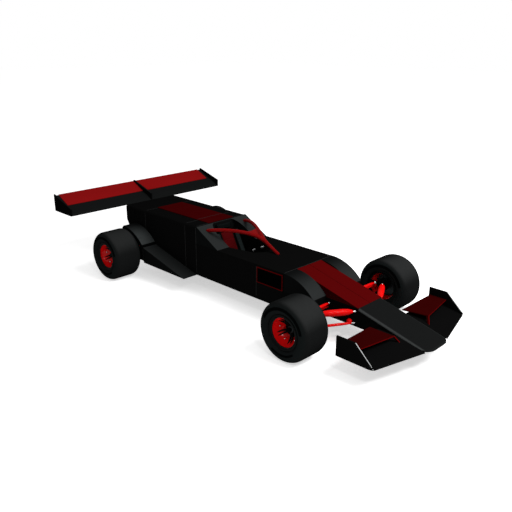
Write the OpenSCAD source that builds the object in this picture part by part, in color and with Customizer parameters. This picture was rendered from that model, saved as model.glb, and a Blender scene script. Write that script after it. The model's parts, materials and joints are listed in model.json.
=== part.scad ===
// Open wheel racing car, full size, millimetres.
// +Z is up, the nose points to -Y and the driver's left is +X.
// The origin is on the ground, half way along the car.
// The bodywork is laid out on a grid: side and length positions are grid steps from the
// centre, and heights are grid steps above the underfloor.

/* [Layout] */
// Size of one grid step
step = 214; // [212:0.5:216]
// Height of the underfloor above the ground
floor_h = 216; // [214:0.5:220]
// Thickness of the shells and trays
skin = 26; // [20:1:32]

/* [Wheels] */
// Outer radius of a tyre
tyre_r = 324; // [320:1:328]
// Width of a tyre
tyre_w = 388; // [380:1:392]
// Radius of the rim where the tyre sits
rim_r = 182; // [178:1:184]
// Width of the rim
rim_w = 330; // [320:1:340]
// Radius of the spindle
spindle_r = 25; // [22:0.5:26]
// Running clearance around a spindle
running_gap = 0.05; // [0.03:0.01:0.08]

/* [Places] */
// Distance of a wheel's centre from the centre line
wheel_x = 863.5; // [860:0.5:868]
// Length position of the front axle
front_y = -1395; // [-1400:1:-1385]
// Length position of the rear axle
rear_y = 1803; // [1795:1:1810]
// Distance of a steering pivot from the centre line
kingpin_x = 728; // [724:1:734]
// Length of a steering arm, from its pivot to the tie rod
steer_arm = 90; // [86:1:92]

/* [Driver] */
// Radius of the steering wheel's rim
hand_wheel_r = 130; // [120:1:135]
// Slope of the steering column below the horizontal, in degrees
column_tilt = 20; // [16:1:24]

/* [Hidden] */
$fn = 48;

body_black = "#0b0b0c";
panel_grey = "#2a2d2e";
paint_red = "#a30d10";
arm_red = "#c40a0c";
rubber_grey = "#1c1c1d";
metal = "#9a9c9e";

tray = skin / step;   // thickness of the floor tray, in grid steps
eps = 1;              // how far a cutter runs past a face

// Height of a grid level above the ground
function up(n) = floor_h + n * step;
// Side outlines and plan outlines, from grid steps to millimetres
function side_pts(pts) = [for (p = pts) [p[0] * step, up(p[1])]];
function plan_pts(pts) = [for (p = pts) p * step];
// Points of an arc, from angle a0 to a1
function arc(c, r, a0, a1, n = 12) =
    [for (i = [0:n]) let (a = a0 + (a1 - a0) * i / n) c + r * [cos(a), sin(a)]];

// Gives the child on the left, s = 1, or mirrored on the right, s = -1
module on_side(s) {
    mirror([s < 0 ? 1 : 0, 0, 0]) children();
}

module both_sides() {
    for (s = [1, -1]) on_side(s) children();
}

// Side outline (length, height) drawn across the car from x0 to x1, in grid steps
module across(x0, x1, pts) {
    translate([x0 * step, 0, 0]) rotate([90, 0, 90])
        linear_extrude((x1 - x0) * step) polygon(side_pts(pts));
}

// Front outline (side, height) drawn along the car from y0 to y1, in grid steps
module along(y0, y1, pts) {
    translate([0, y1 * step, 0]) rotate([90, 0, 0])
        linear_extrude((y1 - y0) * step) polygon(side_pts(pts));
}

// Box between two grid corners
module grid_box(x0, x1, y0, y1, z0, z1) {
    translate([x0 * step, y0 * step, up(z0)])
        cube([(x1 - x0) * step, (y1 - y0) * step, (z1 - z0) * step]);
}

// Round rod between two points in millimetres, r0 at p and r1 at q
module rod(p, q, r0, r1) {
    d = q - p;
    len = norm(d);
    translate(p) rotate([0, acos(d[2] / len), atan2(d[1], d[0])])
        cylinder(h = len, r1 = r0, r2 = r1, $fn = 24);
}

// Grid point to a point in millimetres
function at(p) = [p[0] * step, p[1] * step, up(p[2])];

/* ---- Tub ---- */

well_half = 1.1;      // half width of the cockpit well
well_nose = 0.85;     // radius of the well's round front
well_rear = 2.75;
well_floor = 0.45;
footwell_half = 0.85;

module floor_tray() {
    color(body_black) {
        grid_box(-1, 1, -8, -4, 0, tray);
        grid_box(-2, 2, -4, 8.9, 0, tray);
    }
}

module footwell() {
    grid_box(-footwell_half, footwell_half, -3.7, 0, well_floor, 1.65);
}

module front_tub() {
    color(body_black) difference() {
        grid_box(-2, 2, -4, -2, tray, 2);
        footwell();
    }
}

module cockpit_well() {
    front = arc([0, -0.1], well_nose, 0, -180, 16);
    outline = concat([[well_half, well_rear], [well_half, 0.9]], front,
                     [[-well_half, 0.9], [-well_half, well_rear]]);
    translate([0, 0, up(well_floor)])
        linear_extrude((2 - well_floor) * step + eps) polygon(plan_pts(outline));
}

module cockpit_tub() {
    color(body_black) difference() {
        grid_box(-2, 2, -2, 3, tray, 2);
        cockpit_well();
        footwell();
    }
}

cowl_side = [[1.1, 2], [2.9, 3], [3, 3], [3, 2]];

// Slanted bulkhead behind the driver, with the arched recess for the head
module cowl() {
    recess = concat([[well_half, 1.9]], arc([0.6, 2.5], 0.5, 0, 90, 6), [[0.6, 3.2], [-0.6, 3.2]],
                    arc([-0.6, 2.5], 0.5, 90, 180, 6), [[-well_half, 1.9]]);
    color(panel_grey) difference() {
        across(-2, 2, cowl_side);
        along(1, 2.88, recess);
    }
}

/* ---- Cockpit ---- */

// The seat back's front face runs from seat_low to seat_high (length, height)
seat_low = [1.72, 0.6];
seat_high = [2.62, 2.45];
bolster = 0.14;       // how far the bolsters stand in front of the shell
pad = 0.08;           // thickness of the centre pad
seat_nose = 0.46;     // length position of the seat's front edge

module seat_shell() {
    color(panel_grey) {
        across(-0.98, 0.98, [[seat_nose, well_floor], [seat_nose, seat_low[1]], seat_low, seat_high,
                             [2.74, 2.45], [2.74, 1.9], [1.98, well_floor]]);
        both_sides()
            across(0.5, 0.98, [[seat_nose, seat_low[1]], [seat_nose, seat_low[1] + bolster],
                               [seat_low[0] - bolster, seat_low[1] + bolster],
                               seat_high - [bolster, 0.05], seat_high, seat_low]);
    }
}

module seat_pad() {
    color(paint_red)
        across(-0.5, 0.5, [[seat_nose, seat_low[1]], [seat_nose, seat_low[1] + pad],
                           [seat_low[0] - pad, seat_low[1] + pad], seat_high - [pad, 0],
                           seat_high, seat_low]);
}

module headrest() {
    color(body_black) grid_box(-0.6, 0.6, 2.72, 2.88, 2.46, 2.88);
}

// The steering column runs along this axis, from the hand wheel down and forward
hand_wheel_at = [0, 0.1 * step, up(1.78)];
column_r = 12;

module along_column() {
    translate(hand_wheel_at) rotate([90 + column_tilt, 0, 0]) children();
}

module dashboard() {
    color(body_black) {
        grid_box(-0.55, 0.55, -0.72, -0.6, 1.3, 1.95);
        grid_box(-0.85, 0.85, -0.72, -0.6, 1.3, 1.62);
        difference() {
            along_column() translate([0, 0, 4]) cylinder(h = 160, r = 22);
            grid_box(-1, 1, -2, -0.66, 1, 2);
        }
        along_column() translate([0, 0, -18]) cylinder(h = 40, r = column_r - running_gap);
    }
}

module steering_wheel() {
    grip = 14;        // radius of the rim's section
    flat_top = 62;    // how far above its centre the wheel is cut off
    color(body_black) along_column() translate([0, 0, -8]) difference() {
        union() {
            rotate_extrude() translate([hand_wheel_r - grip, 0]) circle(grip);
            translate([0, 0, -grip]) cylinder(h = grip + 6, r = 34);
            for (s = [1, -1])
                translate([s > 0 ? 20 : 20 - hand_wheel_r, -14, -8])
                    cube([hand_wheel_r - 40, 28, 12]);
        }
        translate([0, 0, -grip - eps]) cylinder(h = 4 * grip, r = column_r);
        translate([-hand_wheel_r, flat_top, -grip - eps])
            cube([2 * hand_wheel_r, hand_wheel_r, 3 * grip]);
    }
}

// Centre line of one halo arm and of its pillar, as four Bezier points in grid steps
halo_arm = [[1.5, 2.55, 2.76], [1.55, 1.86, 2.98], [0.22, 0.11, 3.13], [0, -0.71, 2.51]];
halo_pillar = [[0, -0.55, 2.62], [0, -0.9, 2.45], [0, -1.3, 2.2], [0, -1.8, 1.98]];
halo_r = 24;

function bezier(p, t) =
    pow(1 - t, 3) * p[0] + 3 * pow(1 - t, 2) * t * p[1] + 3 * (1 - t) * t * t * p[2]
    + pow(t, 3) * p[3];

// Round tube along a Bezier curve of grid points
module bezier_tube(ctrl, r, rings = 16, sides = 16) {
    path = [for (i = [0:rings]) at(bezier(ctrl, i / rings))];
    dirs = [for (i = [0:rings]) let (a = path[max(i - 1, 0)], b = path[min(i + 1, rings)])
        (b - a) / norm(b - a)];
    points = [for (i = [0:rings])
        let (flat = cross(dirs[i], [0, 0, 1]), u = flat / norm(flat), v = cross(u, dirs[i]))
        for (k = [0:sides - 1]) let (a = 360 * k / sides) path[i] + r * (cos(a) * u + sin(a) * v)];
    walls = [for (i = [0:rings - 1]) for (k = [0:sides - 1]) let (n = (k + 1) % sides)
        [i * sides + k, i * sides + n, (i + 1) * sides + n, (i + 1) * sides + k]];
    first = [[for (k = [0:sides - 1]) sides - 1 - k]];
    last = [[for (k = [0:sides - 1]) rings * sides + k]];
    polyhedron(points, concat(walls, first, last), convexity = 6);
}

module halo() {
    color(arm_red) {
        difference() {
            union() {
                both_sides() bezier_tube(halo_arm, halo_r);
                bezier_tube(halo_pillar, halo_r);
                hull() {
                    both_sides() translate(at([0.5, 0.38, 2.9])) sphere(16, $fn = 16);
                    translate(at([0, -0.35, 2.72])) sphere(16, $fn = 16);
                }
            }
            across(-2, 2, cowl_side);
            grid_box(-2, 2, -4, 3, 1, 2);
        }
    }
}

/* ---- Engine and tail ---- */

edge_round = 0.14;    // radius of the long top edges

// Front outline of the engine bay, half width w and top height h
function bay_outline(w, h, bottom, r) =
    concat([[w, bottom]], arc([w - r, h - r], r, 0, 90, 6), arc([r - w, h - r], r, 90, 180, 6),
           [[-w, bottom]]);

module fuel_cell_cover() {
    color(body_black) along(3, 4, bay_outline(2, 3, tray, edge_round));
}

// Hollow cover over the engine, with the box behind each ramp
module engine_cover() {
    color(body_black) {
        difference() {
            along(4, 8, bay_outline(2, 3, tray, edge_round));
            along(4.15, 7.85, bay_outline(2 - tray, 3 - tray, 2 * tray, edge_round));
        }
        both_sides() grid_box(2, 3, 7, 7.4, tray, 1);
    }
}

// The engine, as one plain block
module engine_block() {
    color(metal) grid_box(-1.4, 1.4, 4.3, 7.3, 2 * tray, 2.5);
}

module tail_fairing() {
    color(body_black) intersection() {
        along(8, 10.1, bay_outline(2, 3, tray, edge_round));
        across(-2, 2, [[8, tray], [8, 3], [10.1, 3], [10.1, 2.05], [8.95, tray]]);
    }
}

// Raised strip along the top of the engine cover, in two lengths
module cover_stripe() {
    gap = 0.01;
    color(paint_red)
        for (y = [[3, 4 - gap], [4, 8]])
            grid_box(-1, 1, y[0], y[1], 3, 3.05);
}

module tow_eye() {
    color(arm_red) translate([0, 10.1 * step, up(2.65)]) difference() {
        union() {
            translate([-30, 0, -9]) cube([60, 40, 18]);
            translate([0, 40, -9]) cylinder(h = 18, r = 30);
        }
        translate([0, 40, -15]) cylinder(h = 30, r = 18);
    }
}

/* ---- Nose and front wing ---- */

module nose_box() {
    color(body_black) difference() {
        grid_box(-1, 1, -8, -4, tray, 1);
        translate([0, tie_y, tyre_r]) rotate([0, 90, 0])
            cylinder(h = 3 * step, r = 22, center = true);
    }
}

// Two halves of the nose's sloping top, parted by a fine seam on the centre line
module nose_top() {
    seam = 0.008;
    color(paint_red) both_sides()
        across(seam, 1, [[-8, 1], [-4, 1], [-4, 2]]);
}

module nose_tip() {
    slope = atan(1 / 4);
    plan = concat([[-1, -8]], arc([-0.45, -11.37], 0.55, 180, 270, 6),
                  arc([0.45, -11.37], 0.55, 270, 360, 6), [[1, -8]]);
    color(panel_grey) intersection() {
        across(-1, 1, [[-8, 0], [-8, 1], [-11.8, 0.05], [-11.92, 0]]);
        translate([0, 0, floor_h]) linear_extrude(step) polygon(plan_pts(plan));
        translate([0, -8 * step, up(1)]) rotate([90 + slope, 0, 0])
            translate([0, 0, -0.5 * step]) linear_extrude(5 * step)
                polygon(plan_pts(bay_outline(1, 0, -2, edge_round)));
    }
}

wing_sweep = atan(1 / 4);
wing_slope = 0.2;     // rise of the front wing per step of chord

module front_wing_planes() {
    color(body_black) both_sides() intersection() {
        translate([0, -12 * step, 0]) rotate([0, 0, wing_sweep])
            across(0, 5, [[0, 0], [0, 0.04], [1.3, 0.04 + 1.3 * wing_slope], [3, 0.4],
                          [3, 0.36], [1.3, 1.3 * wing_slope - 0.06], [0.4, 0]]);
        grid_box(1, 3.95, -12, -9.2, 0, 1);
    }
}

// Plan corners of a front flap, with their heights, from the outer front round to the inner front
flap_corners = [[3.95, -10.02, 0.6], [3.95, -9.09, 0.6], [1.4, -8.98, 0.51], [1.54, -10.39, 0.58]];
flap_thick = 0.05;

module front_wing_flaps() {
    color(paint_red) both_sides()
        polyhedron([for (z = [0, -flap_thick]) for (p = flap_corners) at(p + [0, 0, z])],
                   [[0, 1, 3], [1, 2, 3], [7, 5, 4], [7, 6, 5],
                    [4, 5, 1, 0], [5, 6, 2, 1], [6, 7, 3, 2], [7, 4, 0, 3]]);
}

module front_wing_endplates() {
    color(body_black) both_sides()
        across(3.95, 4.05, [[-11, 0.04], [-10.98, 0.1], [-10, 1], [-9, 1], [-9, 0], [-10.8, 0]]);
}

/* ---- Blocks, fenders and ramps beside the body ---- */

fender_arc = 2.67;    // radius of a fender's top, in grid steps

module front_ducts() {
    color(body_black) both_sides() grid_box(1, 2, -6, -4, 0, 1);
}

module front_fenders() {
    top = arc([-4, 2 - fender_arc], fender_arc, 90, 138.5, 28);
    color(panel_grey) both_sides()
        across(1, 2, concat([[-4, 1]], top, [[-6, 1]]));
}

module rear_fenders() {
    top = arc([9.05, 2 - fender_arc], fender_arc, 90, 137, 28);
    color(panel_grey) both_sides()
        across(2, 3, concat([[9.2, 1.05], [9.2, 1.84]], top, [[7.1, 1.05]]));
}

module side_ramps() {
    color(panel_grey) both_sides()
        across(2, 3, [[3, 0], [7, 1], [7, 0]]);
}

// Blank number plates on the body sides, each with a raised border
module number_plates() {
    border = 10;
    color(paint_red) both_sides() translate([2 * step, 0, 0]) difference() {
        translate([0, -3.92 * step, up(1)]) cube([8, 1.86 * step, 0.88 * step]);
        translate([5, -3.92 * step + border, up(1) + border])
            cube([8, 1.86 * step - 2 * border, 0.88 * step - 2 * border]);
    }
}

/* ---- Rear wing ---- */

// Heights of the wing's top and underside at a length position
function wing_top(y) = 3.04 + (y - 10) * 0.465;
function wing_under(y) = 3 + (y - 10.25) * 0.455;
wing_skin = [[10, 3.02], [10.1, 3.12], [10.35, 3.26], [10.92, wing_top(10.92)], [12, wing_top(12)]];

module rear_wing_plane() {
    color(body_black)
        across(-5.95, 5.95, concat([[10, 3]], wing_skin, [[12, wing_under(12)], [10.25, 3]]));
}

module rear_wing_flaps() {
    rise = 0.035;
    seat = 0.0015;    // height of the glue line under the flap
    color(paint_red) both_sides()
        across(0.06, 5.72, [[10.92, wing_top(10.92) + seat], [10.92, wing_top(10.92) + rise],
                            [12, wing_top(12) + rise], [12, wing_top(12) + seat]]);
}

// End plates and centre rib, with the two pylons that carry the wing on the tail
module rear_wing_plates() {
    rib = [[10, 3.0], [10, 3.48], [12, 4.08], [12, 3]];
    color(body_black) {
        both_sides() across(5.95, 6.05, rib);
        both_sides() across(0.95, 1.05, [[10.1, 2.35], [10.1, 3], [10.25, 3],
                                         [11.4, wing_under(11.4)], [11.2, 3]]);
        across(-0.06, 0.06, concat([[12, 4.08], [10, 3.48]], wing_skin));
    }
}

/* ---- Suspension ---- */

wheel_z = tyre_r;
tie_y = front_y + steer_arm;
joint_top = up(0.93);
joint_low = up(0.24);
ball_r = 18;          // radius of the joints above and below a knuckle
tie_ball_r = 13;

// Leg of a wishbone, thin at its ends and fat for most of its length, with a bracket on the body
module leg(p, q, r_end, r_mid) {
    root = p + 15 / (q[0] - p[0]) * (q - p);
    a = p + 0.2 * (q - p);
    b = p + 0.75 * (q - p);
    translate(p + [0, -20, -18]) cube([26, 40, 36]);
    rod(root, a, r_end, r_mid);
    rod(a, b, r_mid, r_mid);
    rod(b, q, r_mid, r_end);
}

// One wishbone: a front and a rear leg from the body out to a ball joint
module wishbone(front_in, rear_in, out, r_front, r_rear) {
    leg(front_in, out, 13, r_front);
    leg(rear_in, out, 13, r_rear);
    translate(out) sphere(ball_r, $fn = 24);
}

module front_wishbones() {
    top = [kingpin_x, front_y, joint_top];
    low = [kingpin_x, front_y, joint_low];
    color(arm_red) {
        wishbone(at([1, -7.86, 0.82]), at([1, -6.24, 0.77]), top, 30, 17);
        wishbone(at([1, -7.84, 0.2]), at([1, -6.24, 0.2]), low, 14, 14);
    }
}

module rear_wishbones() {
    top = [kingpin_x, rear_y, joint_top];
    low = [kingpin_x, rear_y, joint_low];
    color(arm_red) {
        wishbone(at([2, 7.62, 0.8]), at([2, 9.2, 0.88]), top, 15, 15);
        wishbone(at([2, 7.62, 0.2]), at([2, 8.75, 0.2]), low, 14, 14);
    }
}

// Knuckle in its own frame: the wheel's centre is the origin and +X points away from the car.
// pin_x is the steering pivot's place, hub_face the face that the wheel runs against.
pin_x = kingpin_x - wheel_x;
hub_face = -108;
hub_in = -78;
hub_out = 96;

module knuckle() {
    // A stub above and below the block stops just short of each ball joint
    short = 0.5;
    top = joint_top - wheel_z - ball_r - short;
    low = joint_low - wheel_z + ball_r + short;
    translate([pin_x - 20, -32, low + 6]) cube([40, 64, top - low - 12]);
    translate([pin_x, 0, low]) cylinder(h = top - low, r = 9);
    translate([pin_x + 19.5, 0, 0]) rotate([0, 90, 0])
        cylinder(h = hub_face - pin_x - 19.5, r = 60);
    translate([hub_face, 0, 0]) rotate([0, 90, 0]) cylinder(h = hub_in - 6 - hub_face, r = 34);
    translate([hub_face, 0, 0]) rotate([0, 90, 0])
        cylinder(h = hub_out - 4 - hub_face, r = spindle_r - running_gap);
}

module steering_arm() {
    translate([pin_x - 12, 0, -8]) cube([24, steer_arm - 14, 16]);
}

module front_upright(s) {
    color(metal) on_side(s) translate([wheel_x, front_y, wheel_z]) {
        knuckle();
        steering_arm();
    }
}

// The rear uprights and the drive shafts that reach them from the tail
module rear_uprights() {
    color(metal) both_sides() {
        translate([wheel_x, rear_y, wheel_z]) knuckle();
        translate([2 * step, rear_y, wheel_z]) rotate([0, 90, 0])
            cylinder(h = kingpin_x - 2 * step, r = 20);
    }
}

// Steering rack and tie rods, which slide across the car as one
module tie_rods() {
    color(arm_red) {
        translate([0, tie_y, wheel_z]) rotate([0, 90, 0])
            cylinder(h = 2 * (kingpin_x - 30), r = 9, center = true);
        both_sides() translate([kingpin_x - 30, tie_y, wheel_z]) sphere(tie_ball_r, $fn = 24);
    }
}

/* ---- Wheels, in the same frame as the knuckle ---- */

shoulder = 74;        // radius of the tyre's shoulder

// Half of the tyre's section: (radius, distance from the wheel's middle)
function tyre_side() = concat(
    [[rim_r, rim_w / 2 - 14], [rim_r + 14, rim_w / 2]],
    arc([tyre_r - shoulder, tyre_w / 2 - shoulder], shoulder, 118, 0, 14));

module tyre() {
    half = tyre_side();
    n = len(half);
    other = [for (i = [n - 1:-1:0]) [half[i][0], -half[i][1]]];
    rotate([0, 90, 0]) rotate_extrude($fn = 96) polygon(concat(half, other));
}

module rim() {
    spoke_x = 66;
    difference() {
        union() {
            rotate([0, 90, 0]) rotate_extrude($fn = 72) polygon([
                [rim_r, -rim_w / 2 + 14], [rim_r, rim_w / 2 - 14], [rim_r + 14, rim_w / 2],
                [rim_r + 14, rim_w / 2 + 8], [rim_r - 10, rim_w / 2 + 2], [rim_r - 22, rim_w / 2 - 40],
                [rim_r - 22, 14 - rim_w / 2], [rim_r - 2, -rim_w / 2 - 4], [rim_r + 8, -rim_w / 2 - 2],
                [rim_r + 14, -rim_w / 2]]);
            translate([hub_in, 0, 0]) rotate([0, 90, 0]) cylinder(h = hub_out - hub_in, r = 46);
            translate([hub_in + 6, 0, 0]) rotate([0, 90, 0]) cylinder(h = 24, r = 128);
            translate([20, 0, 0]) rotate([0, 90, 0]) cylinder(h = 12, r = rim_r - 16, $fn = 72);
            for (a = [0:72:288]) rotate([a, 0, 0])
                translate([spoke_x - 14, -16, 30]) cube([24, 32, rim_r - 48]);
        }
        translate([hub_in - eps, 0, 0]) rotate([0, 90, 0])
            cylinder(h = hub_out - hub_in + 2 * eps, r = spindle_r);
    }
}

module wheel_at(s, y) {
    on_side(s) translate([wheel_x, y, wheel_z]) children();
}

module tyre_at(s, y) {
    color(rubber_grey) wheel_at(s, y) tyre();
}

module rim_at(s, y) {
    color(paint_red) wheel_at(s, y) rim();
}

floor_tray();
front_tub();
cockpit_tub();
cowl();
fuel_cell_cover();
engine_cover();
engine_block();
tail_fairing();
cover_stripe();
halo();
seat_shell();
seat_pad();
headrest();
dashboard();
nose_box();
nose_top();
nose_tip();
front_wing_planes();
front_wing_flaps();
front_wing_endplates();
front_ducts();
front_fenders();
rear_fenders();
side_ramps();
number_plates();
rear_wing_plane();
rear_wing_flaps();
rear_wing_plates();
tow_eye();
on_side(1) front_wishbones();  // front_wishbones_left
on_side(-1) front_wishbones();  // front_wishbones_right
on_side(1) rear_wishbones();  // rear_wishbones_left
on_side(-1) rear_wishbones();  // rear_wishbones_right
rear_uprights();
steering_wheel();
tie_rods();
front_upright(1);  // front_upright_left
front_upright(-1);  // front_upright_right
tyre_at(1, front_y);  // tyre_front_left
tyre_at(-1, front_y);  // tyre_front_right
tyre_at(1, rear_y);  // tyre_rear_left
tyre_at(-1, rear_y);  // tyre_rear_right
rim_at(1, front_y);  // rim_front_left
rim_at(-1, front_y);  // rim_front_right
rim_at(1, rear_y);  // rim_rear_left
rim_at(-1, rear_y);  // rim_rear_right
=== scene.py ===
"""Looks of a single-seat open wheel racing car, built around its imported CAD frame.

Every length is in metres. +Z is up, the nose points to -Y and the driver's left is +X.
The bodywork lies on a grid, so places are given in grid steps: side, length, and height
above the underfloor.
"""

from __future__ import annotations

import json
import logging
import math
from dataclasses import dataclass, field
from enum import Enum
from typing import Iterable, Sequence

import bmesh
import bpy
from mathutils import Matrix, Vector

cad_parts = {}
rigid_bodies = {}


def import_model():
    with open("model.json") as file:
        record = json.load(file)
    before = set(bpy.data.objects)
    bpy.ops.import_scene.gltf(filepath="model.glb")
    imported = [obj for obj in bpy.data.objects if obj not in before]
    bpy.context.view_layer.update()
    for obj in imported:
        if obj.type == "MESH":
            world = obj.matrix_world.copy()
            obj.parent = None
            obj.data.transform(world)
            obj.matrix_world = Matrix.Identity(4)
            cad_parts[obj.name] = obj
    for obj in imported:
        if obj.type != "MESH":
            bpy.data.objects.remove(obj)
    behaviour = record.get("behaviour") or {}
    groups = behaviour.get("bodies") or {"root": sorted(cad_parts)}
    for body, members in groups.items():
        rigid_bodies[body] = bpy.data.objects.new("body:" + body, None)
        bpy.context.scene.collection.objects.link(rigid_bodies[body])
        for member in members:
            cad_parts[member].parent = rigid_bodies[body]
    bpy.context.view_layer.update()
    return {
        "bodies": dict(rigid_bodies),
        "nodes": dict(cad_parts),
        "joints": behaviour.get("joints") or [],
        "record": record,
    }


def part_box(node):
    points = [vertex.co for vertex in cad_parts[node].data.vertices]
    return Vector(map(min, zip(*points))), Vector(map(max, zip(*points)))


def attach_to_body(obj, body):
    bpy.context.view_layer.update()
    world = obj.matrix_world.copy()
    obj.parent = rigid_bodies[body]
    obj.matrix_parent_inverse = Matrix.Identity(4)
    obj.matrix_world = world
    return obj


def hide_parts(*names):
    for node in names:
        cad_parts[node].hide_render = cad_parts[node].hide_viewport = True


log = logging.getLogger("racing_car")

Point = Sequence[float]
WHEELS = ("front_left", "front_right", "rear_left", "rear_right")
SIDES = (1, -1)
MM = 0.001


# ---------------------------------------------------------------- frame and grid


@dataclass(frozen=True)
class Grid:
    """The grid that the bodywork is laid out on.

    Attributes:
        step: Size of one grid step.
        floor: Height of the underfloor above the ground.
    """

    step: float
    floor: float

    def at(self, x: float, y: float, z: float) -> Vector:
        """Point of a grid position: side, length, height above the underfloor."""
        return Vector((x * self.step, y * self.step, self.floor + z * self.step))

    @staticmethod
    def from_frame() -> "Grid":
        """Grid read from the cockpit tub, four steps wide, and the floor tray."""
        low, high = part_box("cockpit_tub")
        return Grid((high.x - low.x) / 4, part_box("floor_tray")[0].z)


# ---------------------------------------------------------------- shader helpers


def linear(hex_colour: str) -> tuple[float, float, float, float]:
    """Turns an sRGB hex colour into linear RGBA.

    Args:
        hex_colour: Colour such as "#20303a".

    Returns:
        Linear red, green, blue and an alpha of 1.
    """
    parts = [int(hex_colour[i : i + 2], 16) / 255 for i in (1, 3, 5)]
    flat = [c / 12.92 if c <= 0.04045 else ((c + 0.055) / 1.055) ** 2.4 for c in parts]
    return flat[0], flat[1], flat[2], 1.0


def add_node(
    tree: bpy.types.NodeTree, kind: str, inputs: dict | None = None, **settings: object
) -> bpy.types.Node:
    """Adds a node, sets its properties and fills or links its inputs.

    Args:
        tree: Node tree to add to.
        kind: Blender's name for the node, without the "ShaderNode" that starts it.
        inputs: Input name or index to a value, or to an output socket to link from.
        **settings: Properties of the node.

    Returns:
        The new node.
    """
    node = tree.nodes.new("ShaderNode" + kind)
    for name, value in settings.items():
        setattr(node, name, value)
    for name, value in (inputs or {}).items():
        if isinstance(value, bpy.types.NodeSocket):
            tree.links.new(value, node.inputs[name])
        else:
            node.inputs[name].default_value = value
    return node


def new_surface(name: str) -> tuple[bpy.types.Material, bpy.types.NodeTree, bpy.types.Node]:
    """Starts a material with an empty tree, an output and a Principled shader.

    Args:
        name: Name of the material.

    Returns:
        The material, its tree and its shader node.
    """
    material = bpy.data.materials.new(name)
    material.use_nodes = True
    tree = material.node_tree
    tree.nodes.clear()
    shader = add_node(tree, "BsdfPrincipled")
    add_node(tree, "OutputMaterial", {"Surface": shader.outputs["BSDF"]})
    return material, tree, shader


def mottled(
    tree: bpy.types.NodeTree, hex_a: str, hex_b: str, patch_mm: float, detail: float = 4
) -> bpy.types.Node:
    """Colour that drifts between two shades over patches of a real size.

    Args:
        tree: Node tree to add to.
        hex_a: Darker shade.
        hex_b: Lighter shade.
        patch_mm: Size of a patch.
        detail: Octaves of the drift.

    Returns:
        Mix node whose output 2 is the colour.
    """
    place = add_node(tree, "TexCoord").outputs["Object"]
    noise = add_node(
        tree,
        "TexNoise",
        {"Vector": place, "Scale": 1000 / patch_mm, "Detail": detail, "Roughness": 0.55},
    )
    return add_node(
        tree, "Mix", {0: noise.outputs["Fac"], 6: linear(hex_a), 7: linear(hex_b)}, data_type="RGBA"
    )


def grain_bump(
    tree: bpy.types.NodeTree, grain_mm: float, height_mm: float, detail: float = 3
) -> bpy.types.NodeSocket:
    """Normal of a surface roughened by grains of a real size.

    Args:
        tree: Node tree to add to.
        grain_mm: Size of a grain.
        height_mm: Height of a grain.
        detail: Octaves of the grain.

    Returns:
        Socket with the bumped normal.
    """
    place = add_node(tree, "TexCoord").outputs["Object"]
    noise = add_node(
        tree, "TexNoise", {"Vector": place, "Scale": 1000 / grain_mm, "Detail": detail, "Roughness": 0.6}
    )
    return add_node(
        tree, "Bump", {"Height": noise.outputs["Fac"], "Distance": height_mm * MM, "Strength": 0.6}
    ).outputs["Normal"]


# ---------------------------------------------------------------- finishes


@dataclass(frozen=True)
class PaintedComposite:
    """Carbon fibre panel, painted and left dead matt.

    The eye sees an even colour with a faint mottle and ripple of the cloth under the paint, and
    no reflection. Faces that lean forward and up get a paler painted light, as if lit from in
    front, and the rounded edges along the sides get a painted highlight.

    Attributes:
        name: Name of the material.
        dark: Darker shade of the paint.
        light: Lighter shade of the paint.
        front_lit_shade: Painted light: shade of the faces that lean forward and up.
        rim: Painted highlight: shade of the rounded edges that lean sideways and up.
        least_up: How far up a face points before the painted light starts.
        lean: How far forward a face leans where the painted light is full.
        roughness: Roughness of the paint.
        ripple_mm: Spacing of the ripple.
    """

    name: str
    dark: str
    light: str
    front_lit_shade: str = ""
    rim: str = ""
    least_up: float = 0.2
    lean: float = -0.36
    roughness: float = 0.6
    ripple_mm: float = 26  # the real cloth's ripple is 4 mm; drawn coarser so that it shows

    def make(self) -> bpy.types.Material:
        """Builds the material."""
        material, tree, shader = new_surface(self.name)
        shade = mottled(tree, self.dark, self.light, 140)
        facing = add_node(tree, "NewGeometry").outputs["Normal"]
        parts = add_node(tree, "SeparateXYZ", {"Vector": facing})
        up = add_node(
            tree,
            "MapRange",
            {"Value": parts.outputs["Z"], "From Min": self.least_up,
             "From Max": self.least_up + 0.2},
        )
        side = add_node(tree, "Math", {0: parts.outputs["X"]}, operation="ABSOLUTE")
        # painted light: faces that lean forward are paler, as if lit from in front, and the sideways
        # edges get a painted highlight
        painted_light_bands = (
            (self.front_lit_shade, parts.outputs["Y"], -0.04, self.lean),
            (self.rim, side.outputs[0], 0.1, 0.75),
        )
        for colour, along, start, end in painted_light_bands:
            if not colour:
                continue
            lean = add_node(
                tree,
                "MapRange",
                {"Value": along, "From Min": start, "From Max": end},
                interpolation_type="SMOOTHSTEP",
            )
            share = add_node(
                tree, "Math", {0: lean.outputs["Result"], 1: up.outputs["Result"]}, operation="MULTIPLY"
            )
            shade = add_node(
                tree,
                "Mix",
                {0: share.outputs[0], 6: shade.outputs[2], 7: linear(colour)},
                data_type="RGBA",
            )
        tree.links.new(shade.outputs[2], shader.inputs["Base Color"])
        normal = grain_bump(tree, self.ripple_mm, 0.25, 2)
        tree.links.new(normal, shader.inputs["Normal"])
        shader.inputs["Roughness"].default_value = self.roughness
        shader.inputs["Specular IOR Level"].default_value = 0.0
        return material


@dataclass(frozen=True)
class GlossEnamel:
    """Steel or alloy, primed and stove enamelled: a deep colour with a soft highlight."""

    name: str
    dark: str
    light: str
    roughness: float = 0.3
    coat: float = 0.05

    def make(self) -> bpy.types.Material:
        """Builds the material."""
        material, tree, shader = new_surface(self.name)
        shade = mottled(tree, self.dark, self.light, 60)
        tree.links.new(shade.outputs[2], shader.inputs["Base Color"])
        tree.links.new(grain_bump(tree, 9, 0.08, 2), shader.inputs["Normal"])
        shader.inputs["Roughness"].default_value = self.roughness
        shader.inputs["Specular IOR Level"].default_value = 0.0
        shader.inputs["Coat Weight"].default_value = self.coat
        shader.inputs["Coat Roughness"].default_value = 0.12
        return material


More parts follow.
